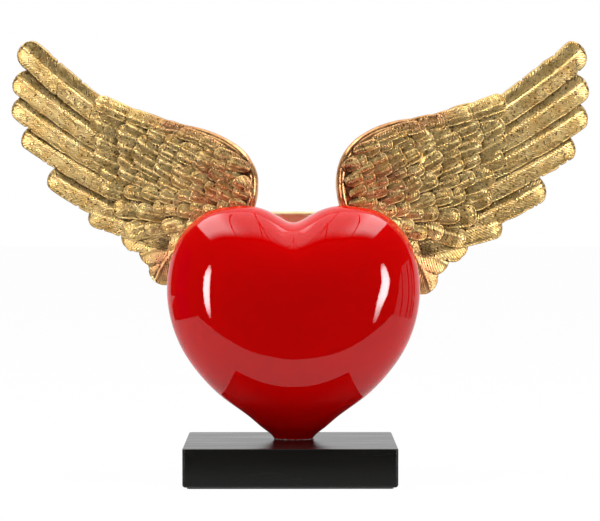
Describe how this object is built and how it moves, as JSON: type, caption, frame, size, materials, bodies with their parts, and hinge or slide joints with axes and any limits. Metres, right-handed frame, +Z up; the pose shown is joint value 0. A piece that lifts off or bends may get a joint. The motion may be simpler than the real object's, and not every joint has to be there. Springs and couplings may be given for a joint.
{
  "type": "winged heart figurine",
  "caption": "Glossy heart standing on its point on a black block, with a spread pair of gilded feathered wings fixed to its back.",
  "frame": {"origin": "middle of the base's footprint, on the underside of its felt", "axes": "+Z up, +X along the wingspan to the viewer's right, -Y to the front"},
  "size_m": [0.4198, 0.137, 0.3086],
  "materials": {
    "base_lacquer": "satin black lacquer",
    "felt": "black felt",
    "fixings": "plated steel",
    "heart_gloss": "high-gloss red over cast resin",
    "gold_leaf": "gold leaf over cast resin, darkened in its hollows",
    "gold_yoke": "polished and gilded"
  },
  "bodies": {
    "root": {"base_block": "base_lacquer", "felt_sheet": "felt", "rod_washer": "fixings", "rod_nut": "fixings", "tie_rod": "fixings", "heart_body": "heart_gloss", "wing_right": "gold_leaf", "wing_left": "gold_leaf", "wing_yoke": "gold_yoke", "yoke_screws": "fixings", "wing_screws_right": "fixings", "wing_screws_left": "fixings"}
  },
  "joints": []
}
